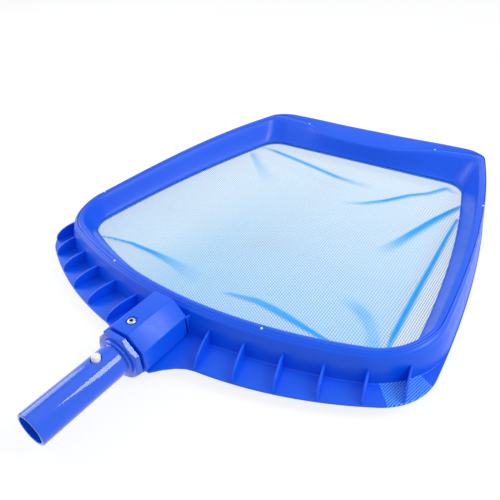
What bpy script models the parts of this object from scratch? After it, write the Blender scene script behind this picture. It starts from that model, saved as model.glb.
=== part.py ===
# Flat leaf skimmer net for a pool pole: a one-piece moulded rim with flange, ribs and socket,
# a retaining ring that clamps the net, and a riveted pole stub with a spring snap clip.
# Metres, +Z up. +X is to the right and +Y points away from the handle.
import bpy
import bmesh
import math
from mathutils import Vector, Matrix

# ---------------------------------------------------------------- driving dimensions
CLEAR = 0.0003            # gap between pieces that touch
# wall foot outline of the rim, measured from the flange's rear rib line (Y = 0)
BACK_Y = 0.0277           # middle of the bowed rear wall
BACK_BOW_R = 0.450        # radius of the bowed rear wall
SIDE_Y_REAR = 0.100       # where the rear half width is taken
SIDE_Y_FRONT = 0.430      # where the front half width is taken
HALF_W_REAR = 0.2141
HALF_W_FRONT = 0.1603
SIDE_BOW_R = 1.242        # the sides bow outward
FRONT_Y = 0.4615          # straight leading edge
REAR_CORNER_R = 0.076
FRONT_CORNER_R = 0.0321
# net opening inside the rim
RIM_W_REAR = 0.0310       # rim width at the rear
RIM_W_SIDE_REAR = 0.0245
RIM_W_SIDE_FRONT = 0.0254
RIM_W_FRONT = 0.0481      # wide front lip
OPEN_REAR_R = 0.030
OPEN_FRONT_R = 0.027
# rim section; it grows higher and steeper from the rear to the front
RIM_H_REAR = 0.0249       # crest height above the flange's top face
RIM_H_FRONT = 0.0316
LIP_DIP = 0.0011          # the front lip is lower in its middle
RISE_FROM, RISE_TO = 0.120, 0.400
CREST_RISE = 0.0006
WALL_T = 0.0024
LEAN_REAR, LEAN_FRONT = 0.22, 0.11          # inward lean of the outer wall
SHOULDER_REAR, SHOULDER_FRONT = 0.0085, 0.0051   # outer shoulder, in from the wall foot
# seam, in from the wall foot: by Y round the rear and the sides, then by |X| along the front,
# where it also drops below the crest
SEAM_SIDE = ((0.060, 0.0113), (0.090, 0.0107), (0.150, 0.0095), (0.200, 0.0088), (0.250, 0.0074),
             (0.320, 0.0066), (0.405, 0.0058))
SEAM_LIP = ((0.000, 0.0390, 0.0084), (0.018, 0.0390, 0.0084), (0.041, 0.0384, 0.0080),
            (0.060, 0.0345, 0.0066), (0.079, 0.0285, 0.0052), (0.093, 0.0216, 0.0040),
            (0.107, 0.0190, 0.0035), (0.120, 0.0176, 0.0030), (0.131, 0.0170, 0.0030),
            (0.140, 0.0130, 0.0024), (0.149, 0.0088, 0.0016), (0.157, 0.0060, 0.0010))
SEAM_DROP = 0.0006        # at the rear and the sides
LAP_W = 0.0030            # shelf under the ring's edge
LAP_T = 0.0016
RUN_SHARE = 0.70          # share of the ring taken by its sloping inner wall
RING_T = 0.0022
# flange
FLANGE_T = 0.0020
FLANGE_BACK_Y = -0.0036
FLANGE_BOW_R = 0.3696
FLANGE_CORNER_R = 0.0547
BEAD = 0.0006             # the flange runs out into this bead on the sides and front
SWEEP_HALF = 0.052        # concave sweep of the flange into the socket's front
# gusset ribs
RIB_START = 0.0442        # along the wall foot from the middle
RIB_PITCH = 0.0331
RIB_T = 0.0020
RIB_H = 0.0124
RIB_TURNS = (15.0, 16.6, 17.0, 16.5, 14.9, 12.4)    # degrees from square to the rear edge
# socket block on the handle's axis
AXIS_ABOVE_FLANGE = 0.0118
BLOCK_AF = 0.0460         # across flats of the octagon
BLOCK_FRONT_Y = -0.0227
BLOCK_INTO_WALL = 0.0006
BLOCK_EDGE = 0.0007
BORE_END_WALL = 0.0062
WEB_T = 0.0020
WEB_H = 0.0196
# pole stub
SHANK_R = 0.0160
TUBE_R = 0.01425          # slides into a 31.8 mm pole
TUBE_WALL = 0.0025
NUT_AF = 0.0430
NUT_GAP = 0.0021          # neck between block and nut
NUT_L = 0.0055
NECK_R = 0.0180
NUT_TURN_R = 0.0224       # turned corners on the pole side
DISC_R = 0.0174
DISC_L = 0.0024
TUBE_L = 0.0780
TUBE_EDGE = 0.0010
# blind rivet
RIVET_Y = -0.0094
RIVET_HEAD_R = 0.0038
RIVET_HEAD_H = 0.0012
RIVET_R = 0.0020
RIVET_BORE_R = 0.0012
MANDREL_R = 0.0008
RECESS_R = 0.0050
RECESS_D = 0.0012
TAIL_L = 0.0022
# spring clip and snap buttons
CLIP_BEND_Y = -0.0080
CLIP_BEND_R = 0.0034
CLIP_T = 0.0007
CLIP_W = 0.0086
BUTTON_ALONG = 0.0412     # along the leg from its bend
LEG_END = 0.0060          # leg past the button
BUTTON_R = 0.0036
BUTTON_OUT = 0.0042       # how far a button stands out of the tube
BUTTON_PLAY = 0.0010
# net
NET_T = 0.0006
NET_GRIP = 0.0050         # net under the ring
NET_PITCH = 0.0235
NET_STRAND = 0.0032
NET_MARGIN = 0.0012
# seam pegs
PEG_R = 0.0011
PEG_L = 0.0042
PEG_IN = 0.0010
PEG_PLACES = ((0.086, "rear", (1, -1)), (0.138, "side", (-1,)), (0.321, "side", (1,)), (0.093, "front", (1, -1)))

AXIS_H = BLOCK_AF / 2                       # the block stands on its lower flat
FLANGE_Z = AXIS_H - AXIS_ABOVE_FLANGE
TUBE_END_Y = BLOCK_FRONT_Y - NUT_GAP - NUT_L - DISC_L - TUBE_L
CENTRE_Y = (FRONT_Y + BEAD + TUBE_END_Y) / 2
N_BACK, N_CORNER, N_SIDE, N_FCORNER, N_FRONT = 12, 7, 12, 7, 11


# ---------------------------------------------------------------- helpers
def clear_scene():
    for ob in list(bpy.data.objects):
        bpy.data.objects.remove(ob, do_unlink=True)


def linear(hexa):
    out = []
    for i in (0, 2, 4):
        c = int(hexa[i:i + 2], 16) / 255
        out.append(c / 12.92 if c <= 0.04045 else ((c + 0.055) / 1.055) ** 2.4)
    return out + [1.0]


def material(name, hexa, rough, metal=0.0):
    mat = bpy.data.materials.new(name)
    mat.use_nodes = True
    bsdf = mat.node_tree.nodes["Principled BSDF"]
    bsdf.inputs["Base Color"].default_value = linear(hexa)
    bsdf.inputs["Roughness"].default_value = rough
    bsdf.inputs["Metallic"].default_value = metal
    return mat


def finish(bm, name, mat, origin=(0, 0, 0), smooth=32):
    """Closes a bmesh into an object whose origin sits at the given point."""
    bmesh.ops.recalc_face_normals(bm, faces=bm.faces)
    bmesh.ops.translate(bm, verts=bm.verts, vec=-Vector(origin))
    mesh = bpy.data.meshes.new(name)
    bm.to_mesh(mesh)
    bm.free()
    ob = bpy.data.objects.new(name, mesh)
    bpy.context.scene.collection.objects.link(ob)
    ob.location = origin
    if mat:
        mesh.materials.append(mat)
    mesh.shade_smooth()
    mesh.set_sharp_from_angle(angle=math.radians(smooth))
    return ob


def loft(sections):
    """Quads between closed sections that follow one closed path."""
    bm = bmesh.new()
    rings = [[bm.verts.new(p) for p in sec] for sec in sections]
    for a, b in zip(rings, rings[1:] + rings[:1]):
        for i in range(len(a)):
            j = (i + 1) % len(a)
            bm.faces.new((a[i], a[j], b[j], b[i]))
    return bm


def prism(outline, vec):
    """Extrudes a closed outline of 3-D points by a vector."""
    bm = bmesh.new()
    face = bm.faces.new([bm.verts.new(p) for p in outline])
    ext = bmesh.ops.extrude_face_region(bm, geom=[face])
    verts = [g for g in ext["geom"] if isinstance(g, bmesh.types.BMVert)]
    bmesh.ops.translate(bm, verts=verts, vec=vec)
    bmesh.ops.recalc_face_normals(bm, faces=bm.faces)
    return bm


def merge(parts):
    """Several closed bodies in one bmesh, for a tool that cuts or joins them all."""
    out = bmesh.new()
    for bm in parts:
        mesh = bpy.data.meshes.new("tmp")
        bm.to_mesh(mesh)
        bm.free()
        out.from_mesh(mesh)
        bpy.data.meshes.remove(mesh)
    return out


def turned(profile, steps=32, axis="Y", at=(0, 0, 0)):
    """Revolves (radius, height) points about an axis; ends on the axis are closed."""
    bm = bmesh.new()
    rows = []
    for r, h in profile:
        if r < 1e-7:
            rows.append([bm.verts.new((0, 0, h))])
        else:
            rows.append([bm.verts.new((r * math.cos(2 * math.pi * k / steps),
                                       r * math.sin(2 * math.pi * k / steps), h))
                         for k in range(steps)])
    pairs = list(zip(rows, rows[1:]))
    if len(rows[0]) > 1 and len(rows[-1]) > 1:
        pairs.append((rows[-1], rows[0]))
    for a, b in pairs:
        for k in range(steps):
            m = (k + 1) % steps
            if len(a) == 1:
                bm.faces.new((a[0], b[k], b[m]))
            elif len(b) == 1:
                bm.faces.new((a[k], a[m], b[0]))
            else:
                bm.faces.new((a[k], a[m], b[m], b[k]))
    if axis == "Y":
        bmesh.ops.rotate(bm, verts=bm.verts, matrix=Matrix.Rotation(-math.pi / 2, 3, "X"))
    bmesh.ops.translate(bm, verts=bm.verts, vec=at)
    bmesh.ops.recalc_face_normals(bm, faces=bm.faces)
    return bm


def octagon(af, y):
    r = af / 2 / math.cos(math.pi / 8)
    return [Vector((r * math.cos(math.pi / 8 + k * math.pi / 4), y,
                    AXIS_H + r * math.sin(math.pi / 8 + k * math.pi / 4))) for k in range(8)]


def tool(bm, name):
    ob = finish(bm, name, None)
    ob.hide_render = True
    ob.display_type = "WIRE"
    return ob


def boolean(ob, other, how):
    mod = ob.modifiers.new(other.name, "BOOLEAN")
    mod.object = other
    mod.operation = how
    mod.solver = "EXACT"


# ---------------------------------------------------------------- plan outlines
def circle_cross(c1, r1, c2, r2, pick):
    """Crossing point of two circles, the one that pick likes most."""
    d = (c2 - c1).length
    a = (r1 * r1 - r2 * r2 + d * d) / (2 * d)
    h = math.sqrt(max(r1 * r1 - a * a, 0))
    e = (c2 - c1) / d
    n = Vector((-e.y, e.x))
    return max((c1 + e * a + n * h, c1 + e * a - n * h), key=pick)


def arc(c, r, p, q, n):
    """n points on a circle from p towards q, without q."""
    a = math.atan2(p.y - c.y, p.x - c.x)
    b = math.atan2(q.y - c.y, q.x - c.x)
    while b < a:
        b += 2 * math.pi
    return [c + r * Vector((math.cos(a + (b - a) * k / n), math.sin(a + (b - a) * k / n)))
            for k in range(n)]


def outline(back_y, bow_r, w_rear, w_front, front_y, rc, rf):
    """Rounded trapezoid: bowed rear, bowed sides, straight front. Whole loop, rear middle first."""
    back_c = Vector((0, back_y + bow_r))
    p1, p2 = Vector((w_rear, SIDE_Y_REAR)), Vector((w_front, SIDE_Y_FRONT))
    side_c = circle_cross(p1, SIDE_BOW_R, p2, SIDE_BOW_R, lambda v: -v.x)
    k1 = circle_cross(back_c, bow_r - rc, side_c, SIDE_BOW_R - rc, lambda v: v.x - v.y)
    dy = front_y - rf - side_c.y
    k2 = Vector((side_c.x + math.sqrt((SIDE_BOW_R - rf) ** 2 - dy * dy), front_y - rf))
    t1 = k1 + (k1 - back_c).normalized() * rc
    t2 = k1 + (k1 - side_c).normalized() * rc
    t3 = k2 + (k2 - side_c).normalized() * rf
    t4 = k2 + Vector((0, rf))
    half = arc(back_c, bow_r, Vector((0, back_y)), t1, N_BACK)
    half += arc(k1, rc, t1, t2, N_CORNER) + arc(side_c, SIDE_BOW_R, t2, t3, N_SIDE)
    half += arc(k2, rf, t3, t4, N_FCORNER)
    half += [t4.lerp(Vector((0, front_y)), k / N_FRONT) for k in range(N_FRONT + 1)]
    return half + [Vector((-p.x, p.y)) for p in half[-2:0:-1]]


def smoothstep(t):
    t = min(max(t, 0.0), 1.0)
    return t * t * (3 - 2 * t)


FOOT = outline(BACK_Y, BACK_BOW_R, HALF_W_REAR, HALF_W_FRONT, FRONT_Y, REAR_CORNER_R, FRONT_CORNER_R)
OPEN = outline(BACK_Y + RIM_W_REAR, BACK_BOW_R - RIM_W_REAR, HALF_W_REAR - RIM_W_SIDE_REAR,
               HALF_W_FRONT - RIM_W_SIDE_FRONT, FRONT_Y - RIM_W_FRONT, OPEN_REAR_R, OPEN_FRONT_R)
EDGE = outline(FLANGE_BACK_Y, FLANGE_BOW_R, HALF_W_REAR + BEAD, HALF_W_FRONT + BEAD,
               FRONT_Y + BEAD, FLANGE_CORNER_R, FRONT_CORNER_R)


def swept(p):
    """Flange edge with its concave sweep to the socket's front corners."""
    half_block = BLOCK_AF / 2
    if p.y > BACK_Y + RIM_W_REAR or abs(p.x) > SWEEP_HALF:
        return p
    t = (SWEEP_HALF - max(abs(p.x), half_block)) / (SWEEP_HALF - half_block)
    return Vector((p.x, p.y - (FLANGE_BACK_Y - BLOCK_FRONT_Y - BLOCK_EDGE) * t * t))


EDGE = [swept(p) for p in EDGE]


def read_off(table, key):
    """Values of a table at a key, straight between its rows and held past its ends."""
    if key <= table[0][0]:
        return table[0][1:]
    for a, b in zip(table, table[1:]):
        if key <= b[0]:
            t = (key - a[0]) / (b[0] - a[0])
            return tuple(u + (v - u) * t for u, v in zip(a[1:], b[1:]))
    return table[-1][1:]


class Station:
    """One place round the rim: foot point, inward direction, width, height, seam and inner run."""

    def __init__(self, i):
        self.foot = FOOT[i]
        self.width = (OPEN[i] - FOOT[i]).length
        self.dir = (OPEN[i] - FOOT[i]).normalized()
        x, y = abs(self.foot.x), self.foot.y
        rise = smoothstep((y - RISE_FROM) / (RISE_TO - RISE_FROM))
        self.height = RIM_H_REAR + (RIM_H_FRONT - RIM_H_REAR) * rise
        self.lean = (LEAN_REAR + (LEAN_FRONT - LEAN_REAR) * rise) * self.height
        self.shoulder = SHOULDER_REAR + (SHOULDER_FRONT - SHOULDER_REAR) * rise
        self.seam, self.drop = read_off(SEAM_SIDE, y)[0], SEAM_DROP
        if y > SEAM_SIDE[-1][0]:
            self.height -= LIP_DIP * (1 - smoothstep((x - 0.035) / 0.070))
            self.seam, self.drop = read_off(SEAM_LIP, x)
        self.run = RUN_SHARE * (self.width - self.seam)

    def at(self, d, z):
        p = self.foot + self.dir * d
        return Vector((p.x, p.y, FLANGE_Z + z))

    def top(self):
        """Outer shoulder and top face, from the end of the outer wall to the seam."""
        h, room = self.height, self.seam - self.shoulder
        return [(max(self.shoulder * 0.72, self.lean * 1.02), h * 0.87), (self.shoulder, h * 0.935),
                (self.shoulder + min(0.00175, room * 0.35), h * 0.98),
                (self.shoulder + min(0.0050, room * 0.70), h - self.drop * 0.1),
                (self.seam, h - self.drop)]


STATIONS = [Station(i) for i in range(len(FOOT))]


def body_section(i):
    """Outer wall, seam edge, lap shelf and net ledge, with the flange as one closed section."""
    s = STATIONS[i]
    e = EDGE[i]
    h = s.height
    shelf = h - s.drop - LAP_T - CLEAR
    low = Vector((e.x, e.y, FLANGE_Z - FLANGE_T))
    top = Vector((e.x, e.y, FLANGE_Z))
    pts = [low, top, s.at(0, 0), s.at(s.lean * 0.5, h * 0.5), s.at(s.lean, h * 0.76)]
    pts += [s.at(d, z) for d, z in s.top()]
    pts += [s.at(s.seam, shelf), s.at(s.seam + LAP_W, shelf), s.at(s.seam + LAP_W, shelf - LAP_T)]
    knee = s.shoulder + WALL_T * 0.55
    mid = max(s.shoulder * 0.45 + s.seam * 0.55, knee + WALL_T * 0.4)
    (d0, z0), (d1, z1) = s.top()[-2:]
    mid_top = z0 + (z1 - z0) * min(max((mid - d0) / (d1 - d0), 0), 1)
    under = [(mid, min(mid_top - WALL_T * 1.3, shelf - LAP_T) if mid > s.seam - WALL_T else mid_top - WALL_T * 1.3),
             (knee, h * 0.935 - WALL_T * 1.1), (s.lean + WALL_T * 1.05, h * 0.70),
             (s.lean * 0.5 + WALL_T, h * 0.42), (WALL_T * 1.1, 0)]
    pts += [s.at(d, z) for d, z in under]
    return pts + [s.at(s.width, 0), s.at(s.width, -FLANGE_T)]


def ring_section(i):
    """Retaining ring: lapped seam edge, rounded crest, sloping inner wall and foot."""
    s = STATIONS[i]
    h = s.height - s.drop
    edge = s.seam + CLEAR
    net_top = CLEAR + NET_T + CLEAR
    lap = s.seam + LAP_W + CLEAR
    under = h - LAP_T
    crest = s.width - s.run
    wall = [(0.0, 0.965), (0.14, 0.86), (0.38, 0.60), (0.66, 0.31), (0.88, 0.12)]
    pts = [s.at(edge, h), s.at((edge + crest) / 2, h + CREST_RISE)]
    pts += [s.at(crest + s.run * f, h * z) for f, z in wall]
    pts += [s.at(s.width, net_top + 0.0008), s.at(s.width, net_top), s.at(s.width - RING_T * 1.2, net_top)]
    pts += [s.at(crest + s.run * f - RING_T, h * z * 0.95) for f, z in wall[:2:-1]]
    pts += [s.at(crest + s.run * 0.30 - RING_T, h * 0.60),
            s.at(max(crest - RING_T * 0.4, lap + 0.0004), under - 0.0008),
            s.at(lap + 0.0002, under - 0.0008), s.at(lap, under), s.at(edge, under)]
    return pts


def along_foot(dist):
    """Point and outward normal on the right wall foot at a distance from the rear middle."""
    left = dist
    for a, b in zip(FOOT, FOOT[1:]):
        step = (b - a).length
        if left <= step:
            return a.lerp(b, left / step)
        left -= step
    raise ValueError("rib past the rim")


def reach(p, d, loop):
    """Distance from p along d to a loop."""
    best = None
    for a, b in zip(loop, loop[1:] + loop[:1]):
        e = b - a
        det = d.x * -e.y + e.x * d.y
        if abs(det) < 1e-12:
            continue
        w = a - p
        t = (w.x * -e.y + e.x * w.y) / det
        u = (d.x * w.y - d.y * w.x) / det
        if t > 1e-5 and 0 <= u <= 1 and (best is None or t < best):
            best = t
    return best


def rib(k, side):
    p = along_foot(RIB_START + k * RIB_PITCH)
    turn = math.radians(RIB_TURNS[k])
    d = Vector((math.sin(turn), -math.cos(turn)))
    length = reach(p, d, EDGE) - RIB_T * 0.4
    across = Vector((-d.y, d.x, 0)) * RIB_T
    root = WALL_T * 0.55
    prof = [(-root, -FLANGE_T / 2), (length, -FLANGE_T / 2), (length, RIB_H * 0.03)]
    steps = 8
    for m in range(1, steps + 1):
        a = math.pi / 2 * m / steps
        prof.append((length * math.cos(a), RIB_H * (0.03 + 0.97 * math.sin(a))))
    prof.append((-root - LEAN_REAR * RIB_H, RIB_H))
    pts = []
    for s, z in prof:
        q = p + d * s
        pts.append(Vector((q.x, q.y, FLANGE_Z + z)) - across / 2)
    bm = prism(pts, across)
    if side < 0:
        bmesh.ops.scale(bm, verts=bm.verts, vec=(-1, 1, 1))
        bmesh.ops.reverse_faces(bm, faces=bm.faces)
    return bm


def web(side):
    """Thin web from the block's rear edge to the rim wall."""
    x = side * (BLOCK_AF / 2 - WEB_T / 2)
    foot_y = BACK_Y + BACK_BOW_R - math.sqrt(BACK_BOW_R ** 2 - x * x)
    root = WALL_T * 0.5
    back = BACK_Y + BLOCK_INTO_WALL - WALL_T
    prof = [(back, -FLANGE_T / 2), (foot_y + root, -FLANGE_T / 2),
            (foot_y + root + LEAN_REAR * WEB_H * 0.6, WEB_H * 0.6),
            (foot_y + root + LEAN_REAR * WEB_H * 1.15, WEB_H * 0.96), (back, WEB_H)]
    pts = [Vector((x - WEB_T / 2, y, FLANGE_Z + z)) for y, z in prof]
    return prism(pts, Vector((WEB_T, 0, 0)))


def peg_places():
    """Peg centres on the seam, one per place and side."""
    out = []
    half = range(len(FOOT) // 2 + 1)
    for value, zone, sides in PEG_PLACES:
        if zone == "side":
            near = [i for i in half if N_BACK < i < N_BACK + N_CORNER + N_SIDE + N_FCORNER]
        elif zone == "rear":
            near = [i for i in half if i <= N_BACK + 3]
        else:
            near = [i for i in half if i >= len(FOOT) // 2 - N_FRONT - 2]
        row = [STATIONS[i].at(STATIONS[i].seam + PEG_IN, STATIONS[i].height - STATIONS[i].drop) for i in near]
        for p, q in zip(row, row[1:]):
            lo, hi = (p.y, q.y) if zone == "side" else (p.x, q.x)
            if min(lo, hi) <= value <= max(lo, hi):
                at = p.lerp(q, (value - lo) / (hi - lo))
                out += [Vector((side * at.x, at.y, at.z)) for side in sides]
                break
    return out


# ---------------------------------------------------------------- materials
clear_scene()
BLUE = material("blue_polypropylene", "1A4FE0", 0.32)
RING = material("blue_polypropylene_ring", "1D53E4", 0.34)
STUB = material("blue_polypropylene_stub", "1647DC", 0.22)
NET = material("polyester_net", "CFE6FA", 0.70)
STEEL = material("spring_steel", "A9ADB2", 0.35, 1.0)
ALU = material("rivet_aluminium", "D9DADB", 0.30, 1.0)
DARK = material("mandrel_steel", "2A2B2E", 0.50, 1.0)
WHITE = material("white_acetal", "F4F4F1", 0.35)

root = bpy.data.objects.new("skimmer_root", None)
bpy.context.scene.collection.objects.link(root)
root.location = (0, -CENTRE_Y, 0)
made = []

# ---------------------------------------------------------------- moulded frame
frame = finish(loft([body_section(i) for i in range(len(FOOT))]), "frame_body", BLUE)
made.append(frame)
block_back = BACK_Y + BLOCK_INTO_WALL
block = prism(octagon(BLOCK_AF, BLOCK_FRONT_Y), Vector((0, block_back - BLOCK_FRONT_Y, 0)))
ends = [e for e in block.edges if abs(e.verts[0].co.y - e.verts[1].co.y) < 1e-6]
bmesh.ops.bevel(block, geom=ends, offset=BLOCK_EDGE, affect="EDGES", segments=1, profile=0.5)
boolean(frame, tool(block, "tool_block"), "UNION")
boolean(frame, tool(merge([web(1), web(-1)]), "tool_webs"), "UNION")
boolean(frame, tool(merge([rib(k, s) for k in range(len(RIB_TURNS)) for s in (1, -1)]), "tool_ribs"), "UNION")
bore_r = SHANK_R + CLEAR
bore_end = block_back - BORE_END_WALL
bore = turned([(0, BLOCK_FRONT_Y - 0.002), (bore_r, BLOCK_FRONT_Y - 0.002), (bore_r, bore_end),
               (0, bore_end)], 40, "Y", (0, 0, AXIS_H))
boolean(frame, tool(bore, "tool_bore"), "DIFFERENCE")
block_top = AXIS_H + BLOCK_AF / 2
recess = turned([(0, AXIS_H + SHANK_R), (RIVET_R + CLEAR, AXIS_H + SHANK_R),
                 (RIVET_R + CLEAR, block_top - RECESS_D), (RECESS_R, block_top - RECESS_D),
                 (RECESS_R, block_top + 0.001), (0, block_top + 0.001)], 28, "Z", (0, RIVET_Y, 0))
boolean(frame, tool(recess, "tool_rivet_hole"), "DIFFERENCE")

pegs = peg_places()


def peg_cutter():
    r = PEG_R + CLEAR
    prof = [(0, -PEG_L - LAP_T), (r, -PEG_L - LAP_T), (r, 0.002), (0, 0.002)]
    return [turned(prof, 10, "Z", p) for p in pegs]


boolean(frame, tool(merge(peg_cutter()), "tool_peg_holes"), "DIFFERENCE")

# ---------------------------------------------------------------- retaining ring
ring = finish(loft([ring_section(i) for i in range(len(FOOT))]), "net_ring", RING)
boolean(ring, bpy.data.objects["tool_peg_holes"], "DIFFERENCE")
made.append(ring)

for n, p in enumerate(pegs):
    z = p.z + CREST_RISE
    prof = [(0, z - PEG_L), (PEG_R * 0.8, z - PEG_L), (PEG_R, z - PEG_L + PEG_R * 0.4), (PEG_R, z - 0.0003),
            (PEG_R * 0.7, z), (0, z + 0.0001)]
    made.append(finish(turned(prof, 10, "Z", (p.x, p.y, 0)), "seam_peg_%d" % (n + 1), WHITE,
                       (p.x, p.y, p.z)))


# ---------------------------------------------------------------- net
def clip(poly, loop):
    """Cuts a polygon to the inside of a convex loop that runs anticlockwise."""
    for a, b in zip(loop, loop[1:] + loop[:1]):
        e = b - a
        out = []
        for p, q in zip(poly, poly[1:] + poly[:1]):
            sp, sq = e.x * (p - a).y - e.y * (p - a).x, e.x * (q - a).y - e.y * (q - a).x
            if sp >= 0:
                out.append(p)
            if sp * sq < 0:
                out.append(p.lerp(q, sp / (sp - sq)))
        poly = out
        if len(poly) < 3:
            return []
    return poly


def area(poly):
    return abs(sum(p.x * q.y - p.y * q.x for p, q in zip(poly, poly[1:] + poly[:1]))) / 2


net_z = FLANGE_Z + CLEAR
plate = [s.foot + s.dir * (s.width - NET_GRIP) for s in STATIONS]
inner = [s.foot + s.dir * (s.width + NET_MARGIN) for s in STATIONS]
net = finish(prism([Vector((p.x, p.y, net_z)) for p in plate], Vector((0, 0, NET_T))), "net", NET)
mid_y = (BACK_Y + FRONT_Y) / 2
half_gap = (NET_PITCH - NET_STRAND) / 2
span = int(0.5 * (FRONT_Y - BACK_Y) * 1.5 / NET_PITCH) + 2
gaps = []
for i in range(-span, span + 1):
    for j in range(-span, span + 1):
        cell = [Vector((i * NET_PITCH + a * half_gap, j * NET_PITCH + b * half_gap))
                for a, b in ((-1, -1), (1, -1), (1, 1), (-1, 1))]
        turn = [Vector(((p.x - p.y) * math.sqrt(0.5), mid_y + (p.x + p.y) * math.sqrt(0.5))) for p in cell]
        cut = clip(turn, inner)
        if cut and area(cut) > 0.12 * (2 * half_gap) ** 2:
            keep = [p for p, q in zip(cut, cut[1:] + cut[:1]) if (p - q).length > 0.0006]
            if len(keep) > 2:
                gaps.append(prism([Vector((p.x, p.y, net_z - NET_T)) for p in keep],
                                  Vector((0, 0, 3 * NET_T))))
boolean(net, tool(merge(gaps), "tool_gaps"), "DIFFERENCE")
made.append(net)

# ---------------------------------------------------------------- pole stub
y_neck = BLOCK_FRONT_Y - CLEAR
y_nut = BLOCK_FRONT_Y - NUT_GAP
y_disc = y_nut - NUT_L
y_tube = y_disc - DISC_L
bore_tube = TUBE_R - TUBE_WALL
stub_prof = [(bore_tube, TUBE_END_Y), (TUBE_R - TUBE_EDGE, TUBE_END_Y), (TUBE_R, TUBE_END_Y + TUBE_EDGE),
             (TUBE_R, y_tube), (DISC_R - 0.0004, y_tube), (DISC_R, y_tube + 0.0004), (DISC_R, y_disc + 0.0002),
             (DISC_R, y_nut - NUT_L / 2), (NECK_R, y_nut - NUT_L / 2), (NECK_R, y_neck), (SHANK_R, y_neck),
             (SHANK_R, bore_end - CLEAR), (bore_tube, bore_end - CLEAR)]
stub = finish(turned(stub_prof, 40, "Y", (0, 0, AXIS_H)), "pole_stub", STUB, (0, y_tube, AXIS_H))
nut = prism(octagon(NUT_AF, y_disc), Vector((0, NUT_L, 0)))
nut_ob = tool(nut, "tool_nut")
cone = turned([(0, y_disc - 0.0001), (NUT_TURN_R * 0.90, y_disc - 0.0001), (NUT_TURN_R, y_disc + NUT_L * 0.30),
               (NUT_TURN_R * 1.2, y_disc + NUT_L * 0.75), (NUT_TURN_R * 1.2, y_nut + 0.001), (0, y_nut + 0.001)],
              40, "Y", (0, 0, AXIS_H))
boolean(nut_ob, tool(cone, "tool_nut_turning"), "INTERSECT")
nut_bore = turned([(0, y_disc - 0.001), (SHANK_R * 0.95, y_disc - 0.001), (SHANK_R * 0.95, y_nut + 0.002),
                   (0, y_nut + 0.002)], 40, "Y", (0, 0, AXIS_H))
boolean(nut_ob, tool(nut_bore, "tool_nut_bore"), "DIFFERENCE")
boolean(stub, nut_ob, "UNION")
hinge_z = CLIP_BEND_R
leg_l = BUTTON_ALONG + LEG_END
leg_high = math.sqrt((bore_tube - CLEAR) ** 2 - (CLIP_W / 2) ** 2) - CLIP_T
rise = math.asin((leg_high - hinge_z) / leg_l)          # the legs' tips rest on the bore
button_l = (TUBE_R + BUTTON_OUT - hinge_z - BUTTON_ALONG * math.sin(rise)) / math.cos(rise)


def wall_y(angle):
    """Where the button's axis crosses the middle of the tube wall, at a leg angle."""
    out = TUBE_R - TUBE_WALL / 2 - hinge_z - BUTTON_ALONG * math.sin(angle)
    return CLIP_BEND_Y - BUTTON_ALONG * math.cos(angle) + out * math.tan(angle)


button_y = (wall_y(rise) + wall_y(rise - BUTTON_OUT / BUTTON_ALONG)) / 2
holes = turned([(0, AXIS_H - TUBE_R * 1.3), (BUTTON_R + BUTTON_PLAY, AXIS_H - TUBE_R * 1.3),
                (BUTTON_R + BUTTON_PLAY, AXIS_H + TUBE_R * 1.3), (0, AXIS_H + TUBE_R * 1.3)],
               24, "Z", (0, button_y, 0))
boolean(stub, tool(holes, "tool_button_holes"), "DIFFERENCE")
pilot = turned([(0, AXIS_H), (RIVET_R + CLEAR, AXIS_H), (RIVET_R + CLEAR, AXIS_H + SHANK_R * 1.2),
                (0, AXIS_H + SHANK_R * 1.2)], 20, "Z", (0, RIVET_Y, 0))
boolean(stub, tool(pilot, "tool_rivet_pilot"), "DIFFERENCE")
made.append(stub)

# ---------------------------------------------------------------- blind rivet
seat = block_top - RECESS_D + CLEAR
inside = AXIS_H + bore_tube - CLEAR
rivet_prof = [(RIVET_BORE_R, inside - TAIL_L), (RIVET_R * 0.95, inside - TAIL_L),
              (RIVET_R * 1.30, inside - TAIL_L * 0.6), (RIVET_R * 1.2, inside - TAIL_L * 0.15), (RIVET_R, inside),
              (RIVET_R, seat), (RIVET_HEAD_R, seat), (RIVET_HEAD_R * 0.96, seat + RIVET_HEAD_H * 0.4),
              (RIVET_HEAD_R * 0.74, seat + RIVET_HEAD_H * 0.85), (RIVET_HEAD_R * 0.45, seat + RIVET_HEAD_H),
              (RIVET_BORE_R, seat + RIVET_HEAD_H * 0.9)]
made.append(finish(turned(rivet_prof, 24, "Z", (0, RIVET_Y, 0)), "blind_rivet", ALU, (0, RIVET_Y, block_top)))
ball = MANDREL_R * 2.1
low = inside - TAIL_L - CLEAR
pin_prof = [(0, low - ball), (ball * 0.75, low - ball * 0.8), (ball, low - ball * 0.3), (ball * 0.9, low),
            (MANDREL_R, low), (MANDREL_R, seat - 0.0006), (0, seat - 0.0004)]
made.append(finish(turned(pin_prof, 16, "Z", (0, RIVET_Y, 0)), "rivet_mandrel", DARK, (0, RIVET_Y, block_top)))

# ---------------------------------------------------------------- spring clip
bend_pts = []
for r in (CLIP_BEND_R + CLIP_T / 2, CLIP_BEND_R - CLIP_T / 2):
    row = [Vector((-CLIP_W / 2, CLIP_BEND_Y + CLEAR + r * math.cos(a), AXIS_H + r * math.sin(a)))
           for a in [math.radians(-90 + 180 * k / 12) for k in range(13)]]
    bend_pts += row if not bend_pts else row[::-1]
made.append(finish(prism(bend_pts, Vector((CLIP_W, 0, 0))), "clip_bend", STEEL,
                   (0, CLIP_BEND_Y, AXIS_H)))


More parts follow.
